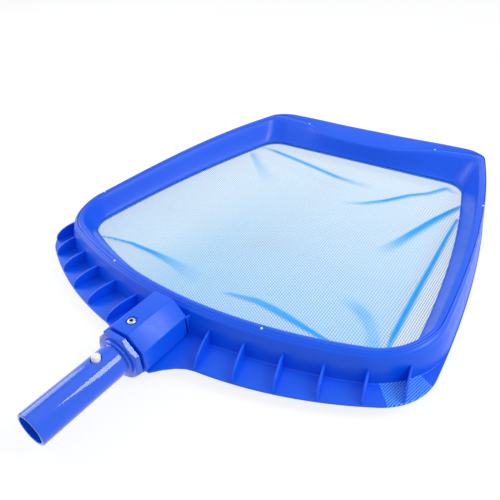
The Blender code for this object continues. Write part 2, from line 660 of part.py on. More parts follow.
def leg_and_button(side, name):
    """One leg with its button, built along -Y from the hinge line and tilted outward."""
    hinge = Vector((0, CLIP_BEND_Y, AXIS_H + side * hinge_z))
    tilt = Matrix.Rotation(-rise * side, 3, "X")
    t = CLIP_T / 2
    leg = prism([Vector((-CLIP_W / 2, 0, -t)), Vector((-CLIP_W / 2, -leg_l, -t)),
                 Vector((-CLIP_W / 2, -leg_l, t)), Vector((-CLIP_W / 2, 0, t))], Vector((CLIP_W, 0, 0)))
    bmesh.ops.rotate(leg, verts=leg.verts, matrix=tilt)
    bmesh.ops.translate(leg, verts=leg.verts, vec=hinge)
    out = [finish(leg, "clip_leg_" + name, STEEL, hinge)]
    base = t + CLEAR
    prof = [(0, base), (BUTTON_R * 0.9, base), (BUTTON_R, base + 0.0004), (BUTTON_R, button_l - BUTTON_R * 0.45)]
    for m in range(1, 5):
        a = math.pi / 2 * m / 4
        prof.append((BUTTON_R * math.cos(a) if m < 4 else 0,
                     button_l - BUTTON_R * 0.45 + BUTTON_R * 0.45 * math.sin(a)))
    btn = turned(prof, 24, "Z")
    if side < 0:
        bmesh.ops.rotate(btn, verts=btn.verts, matrix=Matrix.Rotation(math.pi, 3, "Y"))
    bmesh.ops.translate(btn, verts=btn.verts, vec=(0, -BUTTON_ALONG, 0))
    bmesh.ops.rotate(btn, verts=btn.verts, matrix=tilt)
    bmesh.ops.translate(btn, verts=btn.verts, vec=hinge)
    out.append(finish(btn, "snap_button_" + name, WHITE, hinge))
    return out


made += leg_and_button(1, "top") + leg_and_button(-1, "bottom")

for ob in made:
    ob.parent = root
for ob in bpy.data.objects:
    if ob.name.startswith("tool_"):
        ob.parent = root
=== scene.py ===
# Looks of a flat leaf skimmer net: blue moulded rim and ring, clamped net, riveted pole stub.
import math

import bmesh
import bpy
import numpy as np
from mathutils import Matrix, Vector


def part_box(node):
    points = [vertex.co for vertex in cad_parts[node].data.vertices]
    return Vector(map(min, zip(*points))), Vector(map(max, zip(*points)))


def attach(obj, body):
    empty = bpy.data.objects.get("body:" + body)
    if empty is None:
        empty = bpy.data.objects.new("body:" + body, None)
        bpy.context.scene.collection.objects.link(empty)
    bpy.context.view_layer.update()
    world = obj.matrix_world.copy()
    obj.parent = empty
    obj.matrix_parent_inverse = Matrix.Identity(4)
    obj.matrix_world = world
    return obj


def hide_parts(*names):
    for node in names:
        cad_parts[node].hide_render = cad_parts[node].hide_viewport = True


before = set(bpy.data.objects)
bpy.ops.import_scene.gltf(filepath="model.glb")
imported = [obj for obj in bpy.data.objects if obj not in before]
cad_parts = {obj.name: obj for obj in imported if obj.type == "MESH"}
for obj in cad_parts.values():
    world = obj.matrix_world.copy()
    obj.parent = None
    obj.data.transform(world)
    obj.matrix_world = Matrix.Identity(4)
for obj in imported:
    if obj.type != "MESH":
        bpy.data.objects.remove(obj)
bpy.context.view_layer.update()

# ------------------------------------------------------------ sizes shared with the solids, metres
CLEAR = 0.0003
BACK_Y, BACK_BOW_R = 0.0277, 0.450
SIDE_Y_REAR, SIDE_Y_FRONT = 0.100, 0.430
HALF_W_REAR, HALF_W_FRONT, SIDE_BOW_R = 0.2141, 0.1603, 1.242
FRONT_Y = 0.4615
REAR_CORNER_R, FRONT_CORNER_R = 0.076, 0.0321
RIM_W_REAR, RIM_W_SIDE_REAR, RIM_W_SIDE_FRONT, RIM_W_FRONT = 0.0310, 0.0245, 0.0254, 0.0481
OPEN_REAR_R, OPEN_FRONT_R = 0.030, 0.027
RIM_H_REAR, RIM_H_FRONT, LIP_DIP = 0.0249, 0.0316, 0.0011
RISE_FROM, RISE_TO = 0.120, 0.400
CREST_RISE, WALL_T = 0.0006, 0.0024
LEAN_REAR, LEAN_FRONT = 0.22, 0.11
SHOULDER_REAR, SHOULDER_FRONT = 0.0085, 0.0051
# the seam's distance in from the wall's foot: by y along the sides, and by x along the lip, where the third
# value is how far it lies below the rim's height
SEAM_SIDE = ((0.060, 0.0113), (0.090, 0.0107), (0.150, 0.0095), (0.200, 0.0088), (0.250, 0.0074),
             (0.320, 0.0066), (0.405, 0.0058))
SEAM_LIP = ((0.000, 0.0390, 0.0084), (0.018, 0.0390, 0.0084), (0.041, 0.0384, 0.0080),
            (0.060, 0.0345, 0.0066), (0.079, 0.0285, 0.0052), (0.093, 0.0216, 0.0040),
            (0.107, 0.0190, 0.0035), (0.120, 0.0176, 0.0030), (0.131, 0.0170, 0.0030),
            (0.140, 0.0130, 0.0024), (0.149, 0.0088, 0.0016), (0.157, 0.0060, 0.0010))
SEAM_DROP = 0.0006
SEAM_ROUND = 0.0009                      # both edges of the seam, which shows as a dark line with a lit side
SEAM_SMOOTHINGS = 5
LAP_W, LAP_T, RUN_SHARE, RING_T = 0.0030, 0.0016, 0.70, 0.0022
FLANGE_T, FLANGE_BACK_Y, FLANGE_BOW_R, FLANGE_CORNER_R = 0.0020, -0.0036, 0.3696, 0.0547
BEAD, SWEEP_HALF = 0.0006, 0.052
RIB_START, RIB_PITCH, RIB_T, RIB_H = 0.0442, 0.0331, 0.0020, 0.0124
RIB_TURNS = (15.0, 16.6, 17.0, 16.5, 14.9, 12.4)
BLOCK_AF, AXIS_ABOVE_FLANGE = 0.0460, 0.0118
BLOCK_FRONT_Y, BLOCK_INTO_WALL, BLOCK_EDGE, BORE_END_WALL = -0.0227, 0.0006, 0.0007, 0.0062
WEB_T, WEB_H = 0.0020, 0.0196
SHANK_R, TUBE_R, TUBE_WALL = 0.0160, 0.01425, 0.0025
NUT_AF, NUT_GAP, NUT_L, NECK_R, NUT_TURN_R = 0.0430, 0.0021, 0.0055, 0.0180, 0.0224
DISC_R, DISC_L, TUBE_L, TUBE_EDGE = 0.0174, 0.0024, 0.0780, 0.0010
RIVET_Y, RIVET_R, RECESS_R, RECESS_D = -0.0094, 0.0020, 0.0050, 0.0012
NET_T, NET_GRIP = 0.0006, 0.0050
AXIS_H = BLOCK_AF / 2
FLANGE_Z = AXIS_H - AXIS_ABOVE_FLANGE
TUBE_END_Y = BLOCK_FRONT_Y - NUT_GAP - NUT_L - DISC_L - TUBE_L
CENTRE_Y = (FRONT_Y + BEAD + TUBE_END_Y) / 2
NET_Z = FLANGE_Z + CLEAR + NET_T / 2
N_BACK, N_CORNER, N_SIDE, N_FCORNER, N_FRONT = 26, 16, 22, 16, 30     # steps of each stretch of an outline
WELD = 0.000002                          # vertices closer than this are one
FLAT_AREA = 1e-5                         # a face over 10 mm2 may be a flat one
BEVEL_TURN = (0.005, 0.17)               # radians that a bevel's edge turns by

# ------------------------------------------------------------ patterns of the net, metres
# yarn lines of the mesh: the real pitch of about 1.8 mm is drawn a third coarser near the handle and, as the
# spacing grows towards the front, two thirds coarser there, where it would otherwise blur to a flat tint
WARP_PITCH, WARP_ANGLE, WARP_SHARE = 0.0024, 4, 0.22
WEFT_PITCH, WEFT_ANGLE, WEFT_SHARE = 0.0023, 60, 0.21
CAUGHT_PITCH = 0.0018
# anticlockwise edges of the corner of net that is caught in the right rear flange, in the part's frame
CAUGHT_EDGES = [(0.1800, 0.0670 - CENTRE_Y, 0.1925, 0.0523 - CENTRE_Y),
                (0.2118, 0.0878 - CENTRE_Y, 0.2048, 0.0913 - CENTRE_Y)]


# ------------------------------------------------------------ materials
def rgb(hexa):
    """sRGB hex to linear RGBA."""
    out = []
    for i in (0, 2, 4):
        c = int(hexa[i:i + 2], 16) / 255
        out.append(c / 12.92 if c <= 0.04045 else ((c + 0.055) / 1.055) ** 2.4)
    return out + [1.0]


def add(owner, kind, links=(), values=(), **settings):
    """Adds a node to a material or world, with its settings, its input values (input, value) and its links
    (input, node, output)."""
    node = owner.node_tree.nodes.new("ShaderNode" + kind)
    for key, value in settings.items():
        setattr(node, key, value)
    for socket, value in values:
        node.inputs[socket].default_value = value
    for socket, source, output in links:
        owner.node_tree.links.new(node.inputs[socket], source.outputs[output])
    return node


def new_material(name):
    mat = bpy.data.materials.new(name)
    mat.use_nodes = True
    mat.node_tree.nodes.clear()
    return mat


def moulded_plastic(name, base, deep, rough, grain, coat=0.0, caught_net=False, spec=0.3):
    """Moulded plastic: soft satin sheen, faint flow clouding of the pigment, a fine mould grain."""
    mat = new_material(name)
    at = add(mat, "TexCoord")
    # flow clouding 60 mm across, nearly invisible, keeps large faces from looking painted
    cloud = add(mat, "TexNoise", [("Vector", at, "Object")],
                [("Scale", 16.0), ("Detail", 3.0), ("Roughness", 0.5)])
    tone = add(mat, "ValToRGB", [("Fac", cloud, "Fac")])
    tone.color_ramp.elements[0].position, tone.color_ramp.elements[0].color = 0.30, rgb(deep)
    tone.color_ramp.elements[1].position, tone.color_ramp.elements[1].color = 0.72, rgb(base)
    colour, colour_out = tone, "Color"
    # rub marks: patches 8 mm across where the grain is worn smoother
    rub = add(mat, "TexNoise", [("Vector", at, "Object")],
              [("Scale", 120.0), ("Detail", 4.0), ("Roughness", 0.6)])
    rough_map = add(mat, "MapRange", [("Value", rub, "Fac")],
                    [("From Min", 0.3), ("From Max", 0.7),
                     ("To Min", rough - 0.05), ("To Max", rough + 0.06)])
    # mould grain 0.5 mm across
    fine = add(mat, "TexNoise", [("Vector", at, "Object")], [("Scale", 2000.0), ("Detail", 2.0)])
    bump = add(mat, "Bump", [("Height", fine, "Fac")], [("Strength", grain), ("Distance", 0.00005)])
    if caught_net:
        colour, colour_out = net_in_flange(mat, at, tone), "Result"
    shader = add(mat, "BsdfPrincipled",
                 [("Base Color", colour, colour_out), ("Roughness", rough_map, "Result"),
                  ("Normal", bump, "Normal")],
                 [("IOR", 1.49), ("Specular IOR Level", spec),
                  ("Coat Weight", coat), ("Coat Roughness", 0.06)])
    add(mat, "OutputMaterial", [("Surface", shader, "BSDF")])
    return mat


def stripes(mat, at, angle, pitch, width):
    """1 on threads that run across the given direction, at the given pitch and width in metres."""
    turn = add(mat, "Mapping", [("Vector", at[0], at[1])],
               [("Rotation", (0, 0, -math.radians(angle))), ("Scale", (1 / pitch, 1 / pitch, 1 / pitch))])
    part = add(mat, "SeparateXYZ", [("Vector", turn, "Vector")])
    wave = add(mat, "Math", [(0, part, "X")], [(1, 0.5)], operation="PINGPONG")
    edge = width / pitch / 2
    return add(mat, "MapRange", [("Value", wave, "Value")],
               [("From Min", edge * 0.75), ("From Max", edge * 1.25), ("To Min", 1.0), ("To Max", 0.0)],
               interpolation_type="SMOOTHSTEP")


def net_in_flange(mat, at, tone):
    """The net's own corner caught in the moulding of the right rear flange: pale threads in the blue."""
    a = stripes(mat, (at, "Object"), -14, CAUGHT_PITCH, 0.40 * CAUGHT_PITCH)
    b = stripes(mat, (at, "Object"), 52, CAUGHT_PITCH, 0.16 * CAUGHT_PITCH)
    mask = add(mat, "Math", [(0, a, "Result"), (1, b, "Result")], operation="MAXIMUM")
    part = add(mat, "SeparateXYZ", [("Vector", at, "Object")])
    for (x0, y0, x1, y1) in CAUGHT_EDGES:
        nx, ny = y0 - y1, x1 - x0
        size = math.hypot(nx, ny)
        nx, ny = nx / size, ny / size
        ax = add(mat, "Math", [(0, part, "X")], [(1, nx), (2, -(nx * x0 + ny * y0))],
                 operation="MULTIPLY_ADD")
        ay = add(mat, "Math", [(0, part, "Y"), (2, ax, "Value")], [(1, ny)], operation="MULTIPLY_ADD")
        side = add(mat, "MapRange", [("Value", ay, "Value")], [("From Min", -0.0003), ("From Max", 0.0003)])
        mask = add(mat, "Math", [(0, mask, "Value"), (1, side, "Result")], operation="MULTIPLY")
    # only in the flange's upper skin, not up the ribs
    low = add(mat, "MapRange", [("Value", part, "Z")],
              [("From Min", FLANGE_Z + 0.0003), ("From Max", FLANGE_Z + 0.0008),
               ("To Min", 1.0), ("To Max", 0.0)])
    mask = add(mat, "Math", [(0, mask, "Value"), (1, low, "Result")], operation="MULTIPLY")
    weak = add(mat, "Math", [(0, mask, "Value")], [(1, 0.80)], operation="MULTIPLY")
    return add(mat, "Mix", [("Factor", weak, "Value"), ("A", tone, "Color")], [("B", rgb("63B4FA"))],
               data_type="RGBA")


def net_cloth():
    """Polyester mesh: pale yarns with open gaps, so the sheet shows what is behind it as an ice blue veil;
    nearer the handle it hangs denser, and where it folds the yarns stack up to a clear azure."""
    mat = new_material("woven polyester mesh, heat set")
    uv = add(mat, "UVMap", uv_map="threads")
    fold, wash, pale = (add(mat, "Attribute", attribute_name=name) for name in ("fold", "wash", "pale"))
    # two yarn systems 56 degrees askew, as the pulled cloth lies
    warp = stripes(mat, (uv, "UV"), WARP_ANGLE, WARP_PITCH, WARP_SHARE * WARP_PITCH)
    weft = stripes(mat, (uv, "UV"), WEFT_ANGLE, WEFT_PITCH, WEFT_SHARE * WEFT_PITCH)
    # in the taut strip by the ring only the lengthwise yarns show
    taut = add(mat, "MapRange", [("Value", pale, "Fac")],
               [("From Min", 0.7), ("From Max", 0.95), ("To Min", 1.0), ("To Max", 0.2)])
    weft = add(mat, "Math", [(0, weft, "Result"), (1, taut, "Result")], operation="MULTIPLY")
    yarn = add(mat, "Math", [(0, warp, "Result"), (1, weft, "Value")], operation="MAXIMUM")
    # the finer yarns between these lines are a light veil; both close more of the view near the handle
    gap = add(mat, "MapRange", [("Value", wash, "Fac")], [("To Min", 0.27), ("To Max", 0.57)])
    line = add(mat, "MapRange", [("Value", wash, "Fac")], [("To Min", 0.40), ("To Max", 0.84)])
    # beside a fold and in the taut strip the veil opens and the lines turn grey, a painted shade of the yarns'
    # sides
    gap = add(mat, "Mix", [("Factor", pale, "Fac"), ("A", gap, "Result")], [("B", 0.27)], data_type="FLOAT")
    line = add(mat, "Mix", [("Factor", pale, "Fac"), ("A", line, "Result")], [("B", 0.82)], data_type="FLOAT")
    cover = add(mat, "Mix", [("Factor", yarn, "Value"), ("A", gap, "Result"), ("B", line, "Result")],
                data_type="FLOAT")
    cover = add(mat, "Mix", [("Factor", fold, "Fac"), ("A", cover, "Result")], [("B", 0.98)],
                data_type="FLOAT")
    # the yarn lines are tinted darker than the veil: partly painted shade of the threads' sides
    dark = add(mat, "Mix", [("Factor", pale, "Fac")], [("A", rgb("4C92E0")), ("B", rgb("3C74AE"))],
               data_type="RGBA")
    tint = add(mat, "Mix", [("Factor", yarn, "Value"), ("B", dark, "Result")], [("A", rgb("89E4FF"))],
               data_type="RGBA")
    tint = add(mat, "Mix", [("Factor", fold, "Fac"), ("A", tint, "Result")], [("B", rgb("08A8FF"))],
               data_type="RGBA")
    bump = add(mat, "Bump", [("Height", yarn, "Value")], [("Strength", 0.6), ("Distance", 0.0004)])
    cloth = add(mat, "BsdfPrincipled", [("Base Color", tint, "Result"), ("Normal", bump, "Normal")],
                [("Roughness", 0.7), ("IOR", 1.54), ("Specular IOR Level", 0.2)])
    through = add(mat, "BsdfTranslucent", [("Color", tint, "Result")])
    lit = add(mat, "MixShader", [(1, cloth, "BSDF"), (2, through, "BSDF")], [(0, 0.35)])
    hole = add(mat, "BsdfTransparent")
    both = add(mat, "MixShader", [(0, cover, "Result"), (1, hole, "BSDF"), (2, lit, "Shader")])
    add(mat, "OutputMaterial", [("Surface", both, "Shader")])
    return mat


def metal(name, base, rough, grain_mm, strength, shade_disc_r=0.0):
    """Bare metal with the fine turned or drawn lines of its making; the last argument, if given, is the radius
    of a dark disc painted as shade in the middle of a rivet's head, where the gap round a broken mandrel lies."""
    mat = new_material(name)
    at = add(mat, "TexCoord")
    fine = add(mat, "TexNoise", [("Vector", at, "Object")], [("Scale", 1000.0 / grain_mm), ("Detail", 3.0)])
    rough_map = add(mat, "MapRange", [("Value", fine, "Fac")],
                    [("To Min", rough - 0.08), ("To Max", rough + 0.10)])
    bump = add(mat, "Bump", [("Height", fine, "Fac")], [("Strength", strength), ("Distance", 0.00003)])
    tone = add(mat, "ValToRGB", [("Fac", fine, "Fac")])
    tone.color_ramp.elements[0].color = [c * 0.85 for c in rgb(base)[:3]] + [1.0]
    tone.color_ramp.elements[1].color = rgb(base)
    colour_out = "Color"
    # painted shade: a near-black disc round the rivet's axis stands in for the shadowed gap round the mandrel
    if shade_disc_r:
        flat = add(mat, "Mapping", [("Vector", at, "Object")],
                   [("Location", (0, CENTRE_Y - RIVET_Y, 0)), ("Scale", (1, 1, 0))])
        dist = add(mat, "VectorMath", [(0, flat, "Vector")], operation="LENGTH")
        outside_shade_disc = add(mat, "MapRange", [("Value", dist, "Value")],
                    [("From Min", shade_disc_r - 0.0001), ("From Max", shade_disc_r + 0.0001)])
        tone = add(mat, "Mix", [("Factor", outside_shade_disc, "Result"), ("B", tone, "Color")], [("A", rgb("08080A"))],
                   data_type="RGBA")
        colour_out = "Result"
    shader = add(mat, "BsdfPrincipled",
                 [("Base Color", tone, colour_out), ("Roughness", rough_map, "Result"),
                  ("Normal", bump, "Normal")],
                 [("Metallic", 1.0)])
    add(mat, "OutputMaterial", [("Surface", shader, "BSDF")])
    return mat


# deep blue with a broad soft sheen along the rim
FRAME_BLUE = moulded_plastic("injection moulded polypropylene, satin blue", "045CEC", "0257E8", 0.34, 0.10,
                             caught_net=True, spec=0.34)
# the same blue, a shade smoother, so its inner wall catches a little more of the room
RING_BLUE = moulded_plastic("injection moulded polypropylene, blue ring", "045CEC", "0257E8", 0.33, 0.10,
                            spec=0.34)
# polished blue that mirrors the softbox as one crisp stripe
STUB_BLUE = moulded_plastic("moulded polypropylene, polished blue", "065CEC", "0457E8", 0.24, 0.03,
                            coat=1.0, spec=0.05)
# clean white with a small soft highlight
ACETAL = moulded_plastic("moulded acetal, milk white", "F6F6F4", "EFEFEC", 0.34, 0.04)
NET = net_cloth()
# bright grey dome with a disc of painted shade in its middle
RIVET_ALU = metal("headed rivet aluminium", "BEC1C5", 0.30, 0.25, 0.15, shade_disc_r=0.0015)
# nearly black as painted shade of the hole the mandrel sits in, with hardly any sheen
MANDREL = metal("mandrel steel, black as painted shade", "08080A", 0.70, 0.3, 0.3)
# plain grey strip with fine rolled lines
SPRING = metal("rolled spring steel", "A9ADB2", 0.34, 0.4, 0.2)


# ------------------------------------------------------------ mesh helpers
def finish(bm, name, mat, smooth=38, recalc=True):
    """Centres a bmesh, welds it and makes it an object whose edges past the smooth angle stay sharp."""
    bmesh.ops.translate(bm, verts=bm.verts, vec=(0, -CENTRE_Y, 0))
    bmesh.ops.remove_doubles(bm, verts=bm.verts, dist=WELD)
    if recalc:
        bmesh.ops.recalc_face_normals(bm, faces=bm.faces)
    # a flat face with only bevels round it keeps its own even light
    bm.faces.index_update()
    flats = [f.index for f in bm.faces if f.calc_area() > FLAT_AREA
             and not any(BEVEL_TURN[0] < e.calc_face_angle(0) < BEVEL_TURN[1] for e in f.edges)]
    mesh = bpy.data.meshes.new(name)
    bm.to_mesh(mesh)
    bm.free()
    ob = bpy.data.objects.new(name, mesh)
    bpy.context.scene.collection.objects.link(ob)
    mesh.materials.append(mat)
    mesh.shade_smooth()
    mesh.set_sharp_from_angle(angle=math.radians(smooth))
    for k in flats:
        mesh.polygons[k].use_smooth = False
    return ob


def join(parts):
    """Several closed bodies in one bmesh."""
    out = bmesh.new()
    for bm in parts:
        mesh = bpy.data.meshes.new("part")
        bm.to_mesh(mesh)
        bm.free()
        out.from_mesh(mesh)
        bpy.data.meshes.remove(mesh)
    return out


def rounded(points, radii, steps=4):
    """Closed outline whose corners become short curves; a radius of 0 means as round as the sides allow."""
    out, n = [], len(points)
    for i, (p, r) in enumerate(zip(points, radii)):
        a, b = points[i - 1], points[(i + 1) % n]
        la, lb = (a - p).length, (b - p).length
        ta, tb = (la / 2, lb / 2) if r == 0 else (min(r, la * 0.45), min(r, lb * 0.45))
        p0, p2 = p.lerp(a, ta / la), p.lerp(b, tb / lb)
        last = steps if r == 0 and radii[(i + 1) % n] == 0 else steps + 1
        for k in range(last):
            t = k / steps
            out.append(p0 * (1 - t) ** 2 + p * (2 * t * (1 - t)) + p2 * (t * t))
    return out


def sweep(sections):
    """Extrudes a closed section from place to place, and closes the way round."""
    bm = bmesh.new()
    verts = [bm.verts.new(p) for p in sections[0]]
    ring = [bm.edges.new((a, b)) for a, b in zip(verts, verts[1:] + verts[:1])]
    for section in sections[1:] + sections[:1]:
        geom = bmesh.ops.extrude_edge_only(bm, edges=ring)["geom"]
        new = {g for g in geom if isinstance(g, bmesh.types.BMVert)}
        verts = [next(e.other_vert(v) for e in v.link_edges if e.other_vert(v) in new) for v in verts]
        ring = [g for g in geom
                if isinstance(g, bmesh.types.BMEdge) and g.verts[0] in new and g.verts[1] in new]
        for v, p in zip(verts, section):
            v.co = p
    bmesh.ops.remove_doubles(bm, verts=bm.verts, dist=WELD)
    return bm


def prism(outline, vec):
    """Extrudes a closed outline by a vector."""
    bm = bmesh.new()
    face = bm.faces.new([bm.verts.new(p) for p in outline])
    ext = bmesh.ops.extrude_face_region(bm, geom=[face])
    bmesh.ops.translate(bm, verts=[g for g in ext["geom"] if isinstance(g, bmesh.types.BMVert)], vec=vec)
    bmesh.ops.recalc_face_normals(bm, faces=bm.faces)
    return bm


def spun(profile, steps, axis, at):
    """Spins a profile of (radius, height) points into a closed turned body."""
    bm = bmesh.new()
    verts = [bm.verts.new((r, 0, h)) for r, h in profile]
    edges = [bm.edges.new((a, b)) for a, b in zip(verts, verts[1:])]
    if profile[0][0] > 1e-7 and profile[-1][0] > 1e-7:
        edges.append(bm.edges.new((verts[-1], verts[0])))
    bmesh.ops.spin(bm, geom=verts + edges, cent=(0, 0, 0), axis=(0, 0, 1), angle=2 * math.pi, steps=steps,
                   use_merge=True)
    bmesh.ops.remove_doubles(bm, verts=bm.verts, dist=WELD)
    bmesh.ops.dissolve_degenerate(bm, edges=bm.edges, dist=0.000001)
    if axis == "Y":
        bmesh.ops.rotate(bm, verts=bm.verts, matrix=Matrix.Rotation(-math.pi / 2, 3, "X"))
    bmesh.ops.translate(bm, verts=bm.verts, vec=at)
    bmesh.ops.recalc_face_normals(bm, faces=bm.faces)
    return bm


def bevelled(bm, width, edges=None):
    """Rounds the given edges, or all of them."""
    bmesh.ops.bevel(bm, geom=list(edges or bm.edges), offset=width, affect="EDGES", segments=3,
                    profile=0.5, material=-1)
    return bm


def carved(bm, cutters):
    """Works others into a body, as (body, DIFFERENCE or INTERSECT or UNION), and gives the result back."""
    def held(part, name):
        mesh = bpy.data.meshes.new(name)
        part.to_mesh(mesh)
        part.free()
        ob = bpy.data.objects.new(name, mesh)
        bpy.context.scene.collection.objects.link(ob)
        return ob
    body = held(bm, "blank")
    tools = []
    for part, how in cutters:
        tools.append(held(part, "cutter"))
        mod = body.modifiers.new("cut", "BOOLEAN")
        mod.object, mod.operation, mod.solver = tools[-1], how, "EXACT"
    bpy.context.view_layer.update()
    seen = body.evaluated_get(bpy.context.evaluated_depsgraph_get())
    out = bmesh.new()
    out.from_mesh(seen.to_mesh())
    seen.to_mesh_clear()
    for ob in [body] + tools:
        mesh = ob.data
        bpy.data.objects.remove(ob, do_unlink=True)
        bpy.data.meshes.remove(mesh)
    return out


def octagon(af, y):
    """Octagon of a width across flats, round the socket's axis."""
    r = af / 2 / math.cos(math.pi / 8)
    return [Vector((r * math.cos(math.pi / 8 + k * math.pi / 4), y,
                    AXIS_H + r * math.sin(math.pi / 8 + k * math.pi / 4))) for k in range(8)]


# ------------------------------------------------------------ plan outlines, the same as the solids'
def circle_cross(c1, r1, c2, r2, pick):
    """The crossing of two circles that scores higher."""
    d = (c2 - c1).length
    a = (r1 * r1 - r2 * r2 + d * d) / (2 * d)
    h = math.sqrt(max(r1 * r1 - a * a, 0))
    e = (c2 - c1) / d
    n = Vector((-e.y, e.x))
    return max((c1 + e * a + n * h, c1 + e * a - n * h), key=pick)


def arc(c, r, p, q, n):
    """n points anticlockwise from p towards q, which isn't among them."""
    a = math.atan2(p.y - c.y, p.x - c.x)
    b = math.atan2(q.y - c.y, q.x - c.x)
    while b < a:
        b += 2 * math.pi
    return [c + r * Vector((math.cos(a + (b - a) * k / n), math.sin(a + (b - a) * k / n))) for k in range(n)]


def outline(back_y, bow_r, w_rear, w_front, front_y, rc, rf):
    """Rounded trapezoid: bowed rear, bowed sides, straight front. Whole loop, rear middle first."""
    back_c = Vector((0, back_y + bow_r))
    p1, p2 = Vector((w_rear, SIDE_Y_REAR)), Vector((w_front, SIDE_Y_FRONT))
    side_c = circle_cross(p1, SIDE_BOW_R, p2, SIDE_BOW_R, lambda v: -v.x)
    k1 = circle_cross(back_c, bow_r - rc, side_c, SIDE_BOW_R - rc, lambda v: v.x - v.y)
    dy = front_y - rf - side_c.y
    k2 = Vector((side_c.x + math.sqrt((SIDE_BOW_R - rf) ** 2 - dy * dy), front_y - rf))
    t1 = k1 + (k1 - back_c).normalized() * rc
    t2 = k1 + (k1 - side_c).normalized() * rc
    t3 = k2 + (k2 - side_c).normalized() * rf
    t4 = k2 + Vector((0, rf))
    half = arc(back_c, bow_r, Vector((0, back_y)), t1, N_BACK)
    half += arc(k1, rc, t1, t2, N_CORNER) + arc(side_c, SIDE_BOW_R, t2, t3, N_SIDE)
    half += arc(k2, rf, t3, t4, N_FCORNER)
    half += [t4.lerp(Vector((0, front_y)), k / N_FRONT) for k in range(N_FRONT + 1)]
    return half + [Vector((-p.x, p.y)) for p in half[-2:0:-1]]


def smoothstep(t):
    t = min(max(t, 0.0), 1.0)
    return t * t * (3 - 2 * t)


def flange_edge(p):
    """Flange edge with its concave sweep to the socket's front corners."""
    half_block = BLOCK_AF / 2
    if p.y > BACK_Y + RIM_W_REAR or abs(p.x) > SWEEP_HALF:
        return p
    t = (SWEEP_HALF - max(abs(p.x), half_block)) / (SWEEP_HALF - half_block)
    return Vector((p.x, p.y - (FLANGE_BACK_Y - BLOCK_FRONT_Y - BLOCK_EDGE) * t * t))


FOOT = outline(BACK_Y, BACK_BOW_R, HALF_W_REAR, HALF_W_FRONT, FRONT_Y, REAR_CORNER_R, FRONT_CORNER_R)
OPEN = outline(BACK_Y + RIM_W_REAR, BACK_BOW_R - RIM_W_REAR, HALF_W_REAR - RIM_W_SIDE_REAR,
               HALF_W_FRONT - RIM_W_SIDE_FRONT, FRONT_Y - RIM_W_FRONT, OPEN_REAR_R, OPEN_FRONT_R)
EDGE = [flange_edge(p) for p in outline(FLANGE_BACK_Y, FLANGE_BOW_R, HALF_W_REAR + BEAD, HALF_W_FRONT + BEAD,
                                        FRONT_Y + BEAD, FLANGE_CORNER_R, FRONT_CORNER_R)]


def read_off(table, key):
    """Values of a table at a key, straight between its rows and held past its ends."""
    if key <= table[0][0]:
        return table[0][1:]
    for a, b in zip(table, table[1:]):
        if key <= b[0]:
            t = (key - a[0]) / (b[0] - a[0])
            return tuple(u + (v - u) * t for u, v in zip(a[1:], b[1:]))
    return table[-1][1:]


class Station:
    """One place round the rim: foot point, inward direction, width, height and seam."""

    def __init__(self, i):
        self.foot = FOOT[i]
        self.width = (OPEN[i] - FOOT[i]).length
        self.dir = (OPEN[i] - FOOT[i]).normalized()
        x, y = abs(self.foot.x), self.foot.y
        rise = smoothstep((y - RISE_FROM) / (RISE_TO - RISE_FROM))
        self.height = RIM_H_REAR + (RIM_H_FRONT - RIM_H_REAR) * rise
        self.lean = (LEAN_REAR + (LEAN_FRONT - LEAN_REAR) * rise) * self.height
        self.shoulder = SHOULDER_REAR + (SHOULDER_FRONT - SHOULDER_REAR) * rise
        self.seam, self.drop = read_off(SEAM_SIDE, y)[0], SEAM_DROP
        if y > SEAM_SIDE[-1][0]:
            self.height -= LIP_DIP * (1 - smoothstep((x - 0.035) / 0.070))
            self.seam, self.drop = read_off(SEAM_LIP, x)

    def at(self, d, z):
        p = self.foot + self.dir * d
        return Vector((p.x, p.y, FLANGE_Z + z))

    def top(self):
        """Outer shoulder and top face, from the end of the outer wall to the seam."""
        h, room = self.height, self.seam - self.shoulder
        return [(max(self.shoulder * 0.72, self.lean * 1.02), h * 0.87), (self.shoulder, h * 0.935),
                (self.shoulder + min(0.00175, room * 0.35), h * 0.98),
                (self.shoulder + min(0.0050, room * 0.70), h - self.drop * 0.1),
                (self.seam, h - self.drop)]


STATIONS = [Station(i) for i in range(len(FOOT))]
for _ in range(SEAM_SMOOTHINGS):         # the seam runs as one soft line, without the table's corners
    for key in ("seam", "drop"):
        row = [getattr(s, key) for s in STATIONS]
        for i, s in enumerate(STATIONS):
            setattr(s, key, (row[i - 1] + 2 * row[i] + row[(i + 1) % len(row)]) / 4)


